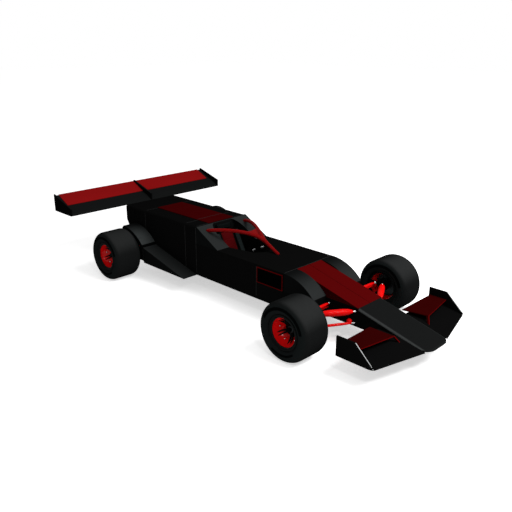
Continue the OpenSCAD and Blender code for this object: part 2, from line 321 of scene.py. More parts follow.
@dataclass(frozen=True)
class SlickRubber:
    """Moulded tyre rubber, dry and dull: black, with painted light greying the tread where it faces
    forward and up.

    The tread fades into the wall round the shoulder, by distance from the wheel's middle plane.
    """

    name: str
    tread: str = "#131414"
    crown: str = "#212222"
    wall: str = "#131616"
    track: float = 863.5 * MM  # distance of every wheel's middle plane from the car's

    def make(self) -> bpy.types.Material:
        """Builds the material."""
        material, tree, shader = new_surface(self.name)
        place = add_node(tree, "TexCoord").outputs["Object"]
        across = add_node(tree, "SeparateXYZ", {"Vector": place}).outputs["X"]
        side = add_node(tree, "Math", {0: across}, operation="ABSOLUTE")
        off = add_node(tree, "Math", {0: side.outputs[0], 1: self.track}, operation="SUBTRACT")
        away = add_node(tree, "Math", {0: off.outputs[0]}, operation="ABSOLUTE")
        fade = add_node(
            tree,
            "MapRange",
            {"Value": away.outputs[0], "From Min": 160 * MM, "From Max": 192 * MM},
            interpolation_type="SMOOTHSTEP",
        )
        # painted light: the tread is greyer where it faces forward and up, as if lit from in front and
        # above
        facing = add_node(tree, "NewGeometry").outputs["Normal"]
        toward = add_node(
            tree, "VectorMath", {0: facing, 1: (-0.2, -0.5, 0.84)}, operation="DOT_PRODUCT"
        )
        lit_share = add_node(
            tree,
            "MapRange",
            {"Value": toward.outputs["Value"], "From Min": 0.68, "From Max": 0.99},
            interpolation_type="SMOOTHSTEP",
        )
        lit_tread = mottled(tree, self.crown, "#252626", 55, 6)
        tread = add_node(
            tree,
            "Mix",
            {0: lit_share.outputs["Result"], 6: linear(self.tread), 7: lit_tread.outputs[2]},
            data_type="RGBA",
        )
        shade = add_node(
            tree,
            "Mix",
            {0: fade.outputs["Result"], 6: tread.outputs[2], 7: linear(self.wall)},
            data_type="RGBA",
        )
        tree.links.new(shade.outputs[2], shader.inputs["Base Color"])
        tree.links.new(grain_bump(tree, 5, 0.35, 5), shader.inputs["Normal"])
        shader.inputs["Roughness"].default_value = 0.85
        shader.inputs["Specular IOR Level"].default_value = 0.0
        return material


@dataclass(frozen=True)
class MachinedMetal:
    """Turned or milled metal: a bright grey with fine tool marks that smear its reflections."""

    name: str
    colour: str
    roughness: float = 0.28
    mark_mm: float = 3  # real tool marks are 0.2 mm apart; drawn coarser so that they show

    def make(self) -> bpy.types.Material:
        """Builds the material."""
        material, tree, shader = new_surface(self.name)
        shader.inputs["Base Color"].default_value = linear(self.colour)
        shader.inputs["Metallic"].default_value = 1.0
        place = add_node(tree, "TexCoord").outputs["Object"]
        marks = add_node(tree, "TexNoise", {"Vector": place, "Scale": 1000 / self.mark_mm, "Detail": 4})
        rough = add_node(
            tree,
            "MapRange",
            {"Value": marks.outputs["Fac"], "To Min": self.roughness - 0.08,
             "To Max": self.roughness + 0.12},
        )
        tree.links.new(rough.outputs["Result"], shader.inputs["Roughness"])
        return material


@dataclass(frozen=True)
class WovenCover:
    """Flame-proof woven seat cover: soft and dead matt, with a visible thread."""

    name: str
    dark: str
    light: str
    thread_mm: float = 8  # the real thread is 1 mm; drawn coarser so that it shows

    def make(self) -> bpy.types.Material:
        """Builds the material."""
        material, tree, shader = new_surface(self.name)
        place = add_node(tree, "TexCoord").outputs["Object"]
        waves = [
            add_node(
                tree,
                "TexWave",
                {"Vector": place, "Scale": 1000 / self.thread_mm / 6.28, "Distortion": 0.4},
                bands_direction=axis,
            ).outputs["Fac"]
            for axis in ("X", "DIAGONAL")
        ]
        weave = add_node(tree, "Math", {0: waves[0], 1: waves[1]}, operation="MULTIPLY")
        shade = add_node(
            tree,
            "Mix",
            {0: weave.outputs[0], 6: linear(self.dark), 7: linear(self.light)},
            data_type="RGBA",
        )
        bump = add_node(tree, "Bump", {"Height": weave.outputs[0], "Distance": 1.2 * MM})
        tree.links.new(shade.outputs[2], shader.inputs["Base Color"])
        tree.links.new(bump.outputs["Normal"], shader.inputs["Normal"])
        shader.inputs["Roughness"].default_value = 0.9
        shader.inputs["Specular IOR Level"].default_value = 0.05
        return material


class Paint(Enum):
    """Every finish on the car."""

    BODY = PaintedComposite("black_composite", "#090909", "#0a0a0a")
    # painted light: where a finish below has a third colour, it is a paler shade painted on faces that
    # lean forward, as if lit from in front; TIP's fourth colour is a painted highlight on its side
    # edges, and FLAP's least_up lets its painted light reach faces of any tilt. PANEL, FENDER and
    # REAR_FENDER are one grey paint with different painted light
    PANEL = PaintedComposite("grey_composite", "#0b0c0c", "#0d0e0e", "#252727")
    FENDER = PaintedComposite("fender_composite", "#0b0c0c", "#0d0e0e", "#262828", lean=-0.72)
    REAR_FENDER = PaintedComposite("tail_composite", "#0b0c0c", "#0d0e0e", "#323535", lean=-0.66)
    TIP = PaintedComposite("nose_composite", "#070707", "#090909", "#171818", "#383a3a")
    AEROFOIL = PaintedComposite("wing_composite", "#060606", "#080808", "#131414")
    NOSE = PaintedComposite("nose_red", "#2c0304", "#320404", "#520506")
    STRIPE = PaintedComposite("stripe_red", "#330203", "#380304")
    FLAP = PaintedComposite("flap_red", "#280202", "#2d0303", "#580405", least_up=-1.3)
    WING = PaintedComposite("wing_red", "#5a0708", "#620809", "#7c0f10")
    BORDER = PaintedComposite("plate_red", "#440203", "#520304")
    FIELD = PaintedComposite("plate_black", "#010101", "#020202")
    ARM = GlossEnamel("arm_enamel", "#c80a0a", "#d60c0c", 0.3, 0.07)
    HALO = GlossEnamel("halo_enamel", "#680304", "#740405", 0.3, 0.06)
    RIM = GlossEnamel("rim_enamel", "#b80a0b", "#cc0c0e", 0.3, 0.16)
    LIP = GlossEnamel("rim_black_enamel", "#040606", "#060808", 0.4, 0.04)
    STEP = GlossEnamel("rim_step_enamel", "#0a1010", "#0e1414", 0.3, 0.12)
    RUBBER = SlickRubber("slick_rubber")
    BAND = PaintedComposite("band_rubber", "#030404", "#050606", roughness=0.8)
    ALLOY = MachinedMetal("machined_aluminium", "#c4c6c7")
    # painted highlight: pale strip on the endplates' front edges, standing in for the light their
    # rounded edges catch
    STRIP = PaintedComposite("edge_highlight_paint", "#9a9c9c", "#b4b6b6", roughness=0.5)
    STEEL = MachinedMetal("dark_steel", "#1c1f20", 0.4)
    TRIM = PaintedComposite("moulded_black", "#020202", "#050505")
    SEAM = PaintedComposite("seam_filler", "#262626", "#323232")
    SEAT_GREY = WovenCover("grey_cover", "#121717", "#222828")
    SEAT_RED = WovenCover("red_cover", "#3c0002", "#4c0103")
    SEAT_BLACK = WovenCover("black_cover", "#030606", "#070a0a")
    PIPING = WovenCover("piping_cord", "#050606", "#0b0d0d", 5)

    def material(self) -> bpy.types.Material:
        """Material of this finish, made once."""
        return bpy.data.materials.get(self.value.name) or self.value.make()


# ---------------------------------------------------------------- mesh helpers


def new_piece(name: str, mesh: bmesh.types.BMesh, smooth_deg: float = 30) -> bpy.types.Object:
    """Turns a bmesh into an object with smooth shading up to an angle.

    Args:
        name: Name of the piece.
        mesh: Mesh to use up.
        smooth_deg: Edges sharper than this stay sharp.

    Returns:
        The object, linked to the scene.
    """
    bmesh.ops.recalc_face_normals(mesh, faces=mesh.faces)
    data = bpy.data.meshes.new(name)
    mesh.to_mesh(data)
    mesh.free()
    data.shade_smooth()
    data.set_sharp_from_angle(angle=math.radians(smooth_deg))
    piece = bpy.data.objects.new(name, data)
    bpy.context.scene.collection.objects.link(piece)
    return piece


def dress(piece: bpy.types.Object, paint: Paint) -> bpy.types.Object:
    """Gives every material slot of a piece one finish."""
    piece.data.materials.clear()
    piece.data.materials.append(paint.material())
    return piece


def attach(
    piece: bpy.types.Object, body: str, paint: Paint, stands_for: Iterable[str] = ()
) -> bpy.types.Object:
    """Dresses a new piece, rides it on a body and hides the CAD nodes it stands for.

    Args:
        piece: The new piece.
        body: Body that carries it.
        paint: Its finish.
        stands_for: CAD nodes that it replaces.

    Returns:
        The piece.
    """
    dress(piece, paint)
    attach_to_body(piece, body)
    nodes = list(stands_for)
    if nodes:
        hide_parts(*nodes)
    log.info("%s on %s", piece.name, body)
    return piece


def soften(piece: bpy.types.Object, width_mm: float, weld: bool = False) -> bpy.types.Object:
    """Rounds a piece's sharp edges a little, so that they catch the light.

    Args:
        piece: Piece or CAD node.
        width_mm: Width of the rounding.
        weld: True for a CAD node, whose faces come apart at their edges.

    Returns:
        The piece.
    """
    if weld:
        piece.modifiers.new("weld", "WELD").merge_threshold = 0.0001
    bevel = piece.modifiers.new("bevel", "BEVEL")
    bevel.width = width_mm * MM
    bevel.segments = 2
    bevel.limit_method = "ANGLE"
    bevel.angle_limit = math.radians(32)
    bevel.harden_normals = True
    return piece


def freeze(piece: bpy.types.Object) -> None:
    """Applies every modifier of a new piece to its mesh."""
    graph = bpy.context.evaluated_depsgraph_get()
    done = bpy.data.meshes.new_from_object(piece.evaluated_get(graph))
    piece.modifiers.clear()
    piece.data = done


def ring_points(centre: Vector, radius: float, count: int) -> list[Vector]:
    """Points of a circle about the X direction."""
    return [
        centre + Vector((0, radius * math.cos(a), radius * math.sin(a)))
        for a in (2 * math.pi * i / count for i in range(count))
    ]


def skin_loops(
    mesh: bmesh.types.BMesh, loops: Sequence[Sequence[Vector]], closed: bool = False,
    capped: bool = True,
) -> None:
    """Skins a row of point loops with quads.

    Args:
        mesh: Mesh to add to.
        loops: Loops of equally many points.
        closed: Joins the last loop to the first.
        capped: Closes both ends with a face.
    """
    rows = [[mesh.verts.new(p) for p in loop] for loop in loops]
    count = len(rows[0])
    pairs = list(zip(rows, rows[1:])) + ([(rows[-1], rows[0])] if closed else [])
    for a, b in pairs:
        for i in range(count):
            j = (i + 1) % count
            mesh.faces.new((a[i], a[j], b[j], b[i]))
    if capped and not closed:
        mesh.faces.new(rows[0])
        mesh.faces.new(list(reversed(rows[-1])))


def revolve_x(
    mesh: bmesh.types.BMesh, centre: Vector, profile: Sequence[tuple[float, float]],
    side: int, count: int = 96, closed: bool = True,
) -> None:
    """Turns a profile about the X direction.

    Args:
        mesh: Mesh to add to.
        centre: Point on the axis that distances along it start from.
        profile: (radius, distance outwards) points.
        side: 1 where outwards is +X, -1 where it is -X.
        count: Segments of the turn.
        closed: Joins the profile's ends.
    """
    loops = [ring_points(centre + Vector((side * x, 0, 0)), r, count) for r, x in profile]
    skin_loops(mesh, loops, closed=closed, capped=False)


def tube_along(
    mesh: bmesh.types.BMesh, path: Sequence[Vector], radii: Sequence[float], sides: int = 16,
    flatten: float = 1.0,
) -> None:
    """Round or flattened tube along a path.

    Args:
        mesh: Mesh to add to.
        path: Points of the centre line.
        radii: Radius at each point.
        sides: Sides of the section.
        flatten: Height of the section over its width.
    """
    loops = []
    for i, point in enumerate(path):
        ahead = (path[min(i + 1, len(path) - 1)] - path[max(i - 1, 0)]).normalized()
        across = ahead.cross(Vector((0, 0, 1)))
        across = across.normalized() if across.length > 1e-4 else Vector((1, 0, 0))
        lift = across.cross(ahead)
        turns = (2 * math.pi * k / sides for k in range(sides))
        loops.append(
            [point + radii[i] * (math.cos(a) * across + flatten * math.sin(a) * lift) for a in turns]
        )
    skin_loops(mesh, loops)


def block(mesh: bmesh.types.BMesh, low: Vector, high: Vector) -> None:
    """Box between two corners."""
    made = bmesh.ops.create_cube(mesh, size=1)
    bmesh.ops.scale(mesh, vec=high - low, verts=made["verts"])
    bmesh.ops.translate(mesh, vec=(low + high) / 2, verts=made["verts"])


def ball(mesh: bmesh.types.BMesh, centre: Vector, radius: float) -> None:
    """Sphere of quads and caps."""
    made = bmesh.ops.create_uvsphere(mesh, u_segments=20, v_segments=12, radius=radius)
    bmesh.ops.translate(mesh, vec=centre, verts=made["verts"])


def extrude_outline(
    mesh: bmesh.types.BMesh, outline: Sequence[Vector], offset: Vector
) -> None:
    """Closed prism from a flat outline, pushed along an offset."""
    skin_loops(mesh, [list(outline), [p + offset for p in outline]])


def bezier(points: Sequence[Vector], count: int) -> list[Vector]:
    """Points along a cubic Bezier curve.

    Args:
        points: Its four control points.
        count: Number of stretches.

    Returns:
        count + 1 points.
    """
    p0, p1, p2, p3 = points
    made = []
    for i in range(count + 1):
        t = i / count
        s = 1 - t
        made.append(s**3 * p0 + 3 * s * s * t * p1 + 3 * s * t * t * p2 + t**3 * p3)
    return made


# ---------------------------------------------------------------- studio


@dataclass
class Studio:
    """Pale floor, plain soft light and the camera.

    Attributes:
        eye: Place of the camera.
        heading_deg: Direction it looks in, counted as the views count it.
        drop_deg: How far it looks down.
        roll_deg: Tilt of the picture.
        lens: Focal length on a 36 mm wide sensor.
    """

    eye: Vector = field(default_factory=lambda: Vector((-5.1045, -5.0504, 3.064)))
    heading_deg: float = -45.302
    drop_deg: float = 19.452
    roll_deg: float = 0.216
    lens: float = 43.08

    def camera(self) -> None:
        """Places the camera."""
        a, e = math.radians(self.heading_deg), math.radians(self.drop_deg)
        back = Vector((math.sin(a) * math.cos(e), -math.cos(a) * math.cos(e), math.sin(e)))
        right = Vector((math.cos(a), math.sin(a), 0))
        up = back.cross(right)
        turn = Matrix.Rotation(math.radians(self.roll_deg), 3, back)
        axes = Matrix((turn @ right, turn @ up, back)).transposed()
        data = bpy.data.cameras.new("camera")
        data.lens = self.lens
        data.clip_end = 200
        camera = bpy.data.objects.new("camera", data)
        camera.matrix_world = Matrix.Translation(self.eye) @ axes.to_4x4()
        bpy.context.scene.collection.objects.link(camera)
        bpy.context.scene.camera = camera

    def floor(self) -> None:
        """Pale floor that keeps the car's shadow."""
        mesh = bmesh.new()
        bmesh.ops.create_grid(mesh, x_segments=1, y_segments=1, size=60)
        ground = new_piece("floor", mesh)
        material = bpy.data.materials.new("pale_floor")
        material.use_nodes = True
        tree = material.node_tree
        tree.nodes.clear()
        lit = add_node(tree, "BsdfDiffuse", {"Color": linear("#f4f4f4")})
        glow = add_node(tree, "Emission", {"Color": linear("#ffffff"), "Strength": 0.55})
        both = add_node(tree, "AddShader", {0: lit.outputs["BSDF"], 1: glow.outputs["Emission"]})
        path = add_node(tree, "LightPath")
        shown = add_node(
            tree,
            "Math",
            {0: path.outputs["Is Camera Ray"], 1: path.outputs["Is Glossy Ray"]},
            operation="MAXIMUM",
        )
        mixed = add_node(
            tree, "MixShader", {0: shown.outputs[0], 1: lit.outputs["BSDF"], 2: both.outputs["Shader"]}
        )
        add_node(tree, "OutputMaterial", {"Surface": mixed.outputs["Shader"]})
        ground.data.materials.append(material)

    def world(self) -> None:
        """White surround, dimmer as a light than as a background."""
        world = bpy.data.worlds.new("studio")
        bpy.context.scene.world = world
        world.use_nodes = True
        tree = world.node_tree
        tree.nodes.clear()
        path = add_node(tree, "LightPath")
        seen = add_node(
            tree,
            "Math",
            {0: path.outputs["Is Camera Ray"], 1: path.outputs["Is Glossy Ray"]},
            operation="MAXIMUM",
        )
        shown = add_node(
            tree,
            "Math",
            {0: seen.outputs[0], 1: path.outputs["Is Transmission Ray"]},
            operation="MAXIMUM",
        )
        strength = add_node(tree, "MapRange", {"Value": shown.outputs[0], "To Min": 0.5, "To Max": 1.0})
        glow = add_node(
            tree, "Background", {"Color": linear("#ffffff"), "Strength": strength.outputs["Result"]}
        )
        add_node(tree, "OutputWorld", {"Surface": glow.outputs["Background"]})

    @staticmethod
    def lamp(name: str, place: Vector, target: Vector, size: float, energy: float) -> None:
        """Adds a square soft lamp.

        Args:
            name: Name of the lamp.
            place: Where it hangs.
            target: What it points at.
            size: Side of the square.
            energy: Power in watts.
        """
        data = bpy.data.lights.new(name, "AREA")
        data.size = size
        data.energy = energy
        lamp = bpy.data.objects.new(name, data)
        turn = (target - place).to_track_quat("-Z", "Y").to_matrix().to_4x4()
        lamp.matrix_world = Matrix.Translation(place) @ turn
        bpy.context.scene.collection.objects.link(lamp)

    def lamps(self) -> None:
        """A large soft lamp above and in front of the nose, and a small one on the right."""
        self.lamp("key", Vector((1.6, -6.2, 7.4)), Vector((0, -0.3, 0.4)), 4.0, 780.0)
        self.lamp("fill", Vector((-3.6, -5.4, 5.4)), Vector((-0.9, -1.2, 0.3)), 0.3, 60.0)

    def build(self) -> None:
        """Builds the whole studio."""
        self.camera()
        self.floor()
        self.world()
        self.lamps()
        bpy.context.scene.view_settings.view_transform = "Standard"


# ---------------------------------------------------------------- bodywork


@dataclass
class Bodywork:
    """Painted panels, their seams and the number plates.

    Attributes:
        grid: The bodywork's grid.
        nodes: CAD nodes by name.
        seam_w: Width of a seam line.
    """

    grid: Grid
    nodes: dict[str, bpy.types.Object]
    seam_w: float = 4 * MM

    def panels(self) -> None:
        """Paints the panels that keep their CAD shape, and softens their edges."""
        table = (
            (Paint.BODY, 4.0, "floor_tray front_tub cockpit_tub fuel_cell_cover engine_cover "
                              "tail_fairing nose_box front_ducts front_wing_planes "
                              "front_wing_endplates"),
            (Paint.AEROFOIL, 6.0, "rear_wing_plane rear_wing_plates"),
            (Paint.PANEL, 2.0, "cowl side_ramps"),
            (Paint.FENDER, 3.0, "front_fenders"),
            (Paint.REAR_FENDER, 3.0, "rear_fenders"),
            (Paint.TIP, 26.0, "nose_tip"),
            (Paint.NOSE, 3.0, "nose_top"),
            (Paint.STRIPE, 2.0, "cover_stripe"),
            (Paint.WING, 2.0, "rear_wing_flaps"),
            (Paint.FLAP, 1.0, "front_wing_flaps"),
            (Paint.BORDER, 1.5, "number_plates"),
            (Paint.STEEL, 3.0, "engine_block"),
            (Paint.TRIM, 3.0, "rear_uprights front_upright_left front_upright_right"),
            (Paint.ARM, 2.0, "tow_eye tie_rods"),
            (Paint.TRIM, 2.0, "dashboard"),
        )
        for paint, width_mm, names in table:
            for name in names.split():
                soften(dress(self.nodes[name], paint), width_mm, weld=True)

    def seams(self) -> None:
        """Thin light lines where the panels meet, over both sides and the top."""
        g = self.grid
        rise, sunk = 0.9 * MM, Vector((0, 0, 6 * MM))
        mesh = bmesh.new()
        half_w = Vector((0, self.seam_w / 2, 0))
        # side seams: distance from the centre line, length position, and the heights they span
        for x, y, base, top in ((2, -2, 0.16, 1.88), (2, 3, 0.16, 2.92), (2, 4, 0.16, 2.86),
                                (2, 8, 0.16, 2.86), (3, 7.02, 0.08, 0.92)):
            for s in SIDES:
                low, high = g.at(s * x, y, base), g.at(s * x, y, top)
                (low if s < 0 else high).x += s * rise
                block(mesh, low - half_w, high + half_w)
        # top seams: length position, half width and height
        for y, half, top in ((-3.97, 1.96, 2), (3.03, 1.86, 3), (4, 1.86, 3), (8, 1.86, 3)):
            left, right = g.at(-half, y, top), g.at(half, y, top)
            block(mesh, left - half_w - sunk, right + half_w + Vector((0, 0, rise)))
        low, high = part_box("cover_stripe")
        for y in (4, 8):
            middle = g.at(0, y, 0).y
            if low.y < middle < high.y:
                left, right = Vector((low.x, middle, high.z)), Vector((high.x, middle, high.z))
                block(mesh, left - half_w - sunk, right + half_w + Vector((0, 0, rise)))
        attach(new_piece("panel_seams", mesh), "chassis", Paint.SEAM)

    def plate_fields(self) -> None:
        """Black fields inside the number plates' red borders."""
        low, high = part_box("number_plates")
        border = 10 * MM
        for s, side in ((1, "left"), (-1, "right")):
            face = s * (high.x - 3 * MM)
            mesh = bmesh.new()
            block(
                mesh,
                Vector((min(face, face + s * MM), low.y + border, low.z + border)),
                Vector((max(face, face + s * MM), high.y - border, high.z - border)),
            )
            attach(new_piece(f"plate_field_{side}", mesh), "chassis", Paint.FIELD)

    def wing_fittings(self) -> None:
        """Red stays under the front flaps, and pale strips on the endplates' front edges as a painted
        highlight.
        """
        g = self.grid
        stays, strips = bmesh.new(), bmesh.new()
        for s in SIDES:
            stay = [g.at(s * x, y, z) for x, y, z in
                    ((1.52, -10.4, 0.59), (1.28, -10.6, 0.24), (1.3, -10.48, 0.24),
                     (1.52, -10.26, 0.59))]
            extrude_outline(stays, stay, Vector((s * 12 * MM, 0, 0)))
            # painted highlight: a pale strip along each endplate's front edge stands in for the light
            # its rounded edge catches
            edge = [g.at(s * 3.98, -10.99, 0.07), g.at(s * 3.98, -10.02, 0.985)]
            run = (edge[1] - edge[0]).normalized()
            out = Vector((0, -run.z, run.y)) * 3 * MM
            strip = [edge[0] - out, edge[0] + out, edge[1] + out, edge[1] - out]
            extrude_outline(strips, strip, Vector((s * 0.04 * g.step, 0, 0)))
        soften(attach(new_piece("flap_stays", stays), "chassis", Paint.FLAP), 2)
        strips_piece = attach(new_piece("edge_highlight_strips", strips), "chassis", Paint.STRIP)
        soften(strips_piece, 1.5)

    def build(self) -> None:
        """Builds the bodywork's looks."""
        self.panels()
        self.seams()
        self.plate_fields()
        self.wing_fittings()


# ---------------------------------------------------------------- wheels


@dataclass
class Wheel:
    """One wheel: slick tyre, dished rim with dark spokes, hub nut and brake disc.

    Attributes:
        name: Place on the car, such as "front_left".
        seat: Radius of the rim where the tyre sits.
        rim_w: Width of the rim.
        shoulder: Radius of the tyre's rounded shoulders.
        radius: Outer radius of the tyre, read from its CAD node.
        width: Width of the tyre, read likewise.
        centre: Centre of the wheel, read likewise.
        side: 1 on the left of the car, -1 on its right.
    """

    name: str
    seat: float = 182 * MM
    rim_w: float = 330 * MM
    shoulder: float = 74 * MM
    radius: float = field(init=False)
    width: float = field(init=False)
    centre: Vector = field(init=False)
    side: int = field(init=False)

    def __post_init__(self) -> None:
        """Reads the wheel's place and size from its CAD tyre."""
        low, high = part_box(f"tyre_{self.name}")
        self.radius = (high.z - low.z) / 2
        self.width = high.x - low.x
        self.centre = (low + high) / 2
        self.side = 1 if self.centre.x > 0 else -1

    @property
    def body(self) -> str:
        """Body that the wheel's pieces ride on."""
        return f"wheel_{self.name}"

    def side_profile(self) -> list[tuple[float, float]]:
        """Outer half of the tyre's section, from the bead to the middle of the tread."""
        shoulder = self.shoulder
        rc, xc = self.radius - shoulder, self.width / 2 - shoulder
        points = [(self.seat, self.rim_w / 2 - 14 * MM), (self.seat + 10 * MM, self.rim_w / 2)]
        for i in range(19):
            a = math.radians(122 - i * 122 / 18)
            points.append((rc + shoulder * math.cos(a), xc + shoulder * math.sin(a)))
        return points

    def turn(
        self, name: str, profiles: Sequence[Sequence[tuple[float, float]]], slot: str, paint: Paint,
        count: int = 96, stands_for: Iterable[str] = (), smooth_deg: float = 30,
    ) -> None:
        """Turns closed profiles about the axle into one piece of this wheel.

        Args:
            name: Name of the piece, without the wheel's place.
            profiles: (radius, distance outwards) points of each profile.
            slot: Material slot of the record; not used.
            paint: Its finish.
            count: Segments of the turn.
            stands_for: CAD nodes that it replaces.
            smooth_deg: Edges sharper than this stay sharp.
        """
        mesh = bmesh.new()
        for profile in profiles:
            revolve_x(mesh, self.centre, profile, self.side, count)
        piece = new_piece(f"{name}_{self.name}", mesh, smooth_deg)
        attach(piece, self.body, paint, stands_for)

    def tyre(self) -> None:
        """Slick tyre with a raised rib beside its bead."""
        half = self.side_profile()
        full = half + [(r, -x) for r, x in reversed(half)]
        self.turn("slick", [full], "tyre_rubber", Paint.RUBBER, 128, [f"tyre_{self.name}"], 40)

    def bands(self) -> None:
        """Two dark arcs on each sidewall."""
        mesh = bmesh.new()
        rc, xc = self.radius - self.shoulder, self.width / 2 - self.shoulder
        # inner and outer radius of each arc, with its start and end angle from the front over
        # the top
        arcs = ((242, 274, 14, 156), (226, 248, 238, 312))
        for inner, outer, start, end in arcs:
            radii = [(inner + (outer - inner) * k / 6) * MM for k in range(7)]
            profile = [(r, xc + math.sqrt(self.shoulder**2 - (r - rc) ** 2)) for r in radii]
            for face in (1, -1):
                loops = []
                steps = int((end - start) / 3)
                for i in range(steps + 1):
                    a = math.radians(start + (end - start) * i / steps)
                    section = [(r, x + 1.2 * MM) for r, x in profile]
                    section += [(r, x - 2 * MM) for r, x in reversed(profile)]
                    loops.append([
                        self.centre + Vector(
                            (self.side * face * x, -r * math.cos(a), r * math.sin(a))
                        )
                        for r, x in section
                    ])
                skin_loops(mesh, loops)
        piece = new_piece(f"sidewall_bands_{self.name}", mesh)
        attach(piece, self.body, Paint.BAND)

    def rim(self) -> None:
        """Deep rim: black flanges, a red barrel and a dark disc half way in."""
        s, w = self.seat, self.rim_w / 2
        flange = [
            (s, w - 14 * MM), (s + 11 * MM, w), (s + 12 * MM, w + 8 * MM), (s + 4 * MM, w + 12 * MM),
            (s - 12 * MM, w + 9 * MM), (s - 20 * MM, w + 1 * MM), (s - 22 * MM, w - 14 * MM),
        ]
        inner = [(r, -x) for r, x in flange]
        rim = [f"rim_{self.name}"]
        self.turn("rim_flanges", [flange, inner], "rim_red", Paint.LIP, stands_for=rim)
        step = [
            (s - 21 * MM, w - 14 * MM), (s - 19 * MM, w + 1 * MM), (s - 25 * MM, w - 1 * MM),
            (s - 27 * MM, w - 14 * MM),
        ]
        self.turn("rim_step", [step], "rim_red", Paint.STEP)
        barrel = [
            (s - 22 * MM, w - 14 * MM), (s - 22 * MM, 14 * MM - w), (s - 27 * MM, 14 * MM - w),
            (s - 30 * MM, -60 * MM), (s - 40 * MM, -8 * MM), (88 * MM, 8 * MM), (84 * MM, 20 * MM),
            (92 * MM, 26 * MM), (s - 56 * MM, 84 * MM), (s - 34 * MM, 124 * MM),
            (s - 27 * MM, w - 14 * MM),
        ]
        self.turn("rim_barrel", [barrel], "rim_red", Paint.RIM, smooth_deg=50)
        disc = [
            (86 * MM, 12 * MM), (44 * MM, 12 * MM), (44 * MM, 26 * MM), (70 * MM, 30 * MM),
            (86 * MM, 26 * MM),
        ]
        self.turn("rim_disc", [disc], "trim_black", Paint.LIP, smooth_deg=50)

    def spokes(self) -> None:
        """Five dark split spokes that climb from the hub to the mouth of the barrel."""
        mesh = bmesh.new()
        for i in range(5):
            turn = Matrix.Rotation(math.radians(72 * i + 24), 3, "X")
            for lean in (-1, 1):
                root = Vector((self.side * 44 * MM, lean * 10 * MM, 38 * MM))
                middle = Vector((self.side * 52 * MM, lean * 14 * MM, 96 * MM))
                tip = Vector((self.side * 104 * MM, lean * 18 * MM, self.seat - 40 * MM))
                path = bezier([root, middle, middle, tip], 8)
                radii = [(11 - 0.5 * k) * MM for k in range(9)]
                tube_along(mesh, [self.centre + turn @ p for p in path], radii, 10)
        attach(new_piece(f"spokes_{self.name}", mesh), self.body, Paint.LIP)

    def hub(self) -> None:
        """Dark hub with a bright nut and studs, and the brake disc behind it."""
        cone = [(26 * MM, -70 * MM), (44 * MM, -70 * MM), (44 * MM, 30 * MM), (36 * MM, 56 * MM),
                (28 * MM, 60 * MM), (26 * MM, 60 * MM)]
        self.turn("hub", [cone], "trim_black", Paint.STEEL, 48)
        mesh = bmesh.new()
        for i in range(10):
            a = math.radians(36 * i + 6)
            reach = (58 if i % 2 else 118) * MM
            out = (32 if i % 2 else 76) * MM
            place = self.centre + Vector(
                (self.side * out, reach * math.cos(a), reach * math.sin(a))
            )
            revolve_x(mesh, place, [(7 * MM, -8 * MM), (7 * MM, 8 * MM), (4 * MM, 12 * MM),
                                    (0.5 * MM, 12 * MM)], self.side, 6, closed=False)
        nut = [(24 * MM, 56 * MM), (24 * MM, 72 * MM), (18 * MM, 78 * MM), (0.5 * MM, 80 * MM)]
        revolve_x(mesh, self.centre, nut, self.side, 6, closed=False)
        attach(new_piece(f"studs_{self.name}", mesh), self.body, Paint.ALLOY)
        disc = [(46 * MM, -72 * MM), (128 * MM, -72 * MM), (128 * MM, -48 * MM), (46 * MM, -48 * MM)]
        self.turn("brake_disc", [disc], "metal", Paint.STEEL, 72)

    def build(self) -> None:
        """Builds the whole wheel."""
        self.tyre()
        self.bands()
        self.rim()
        self.spokes()
        self.hub()


# ---------------------------------------------------------------- suspension


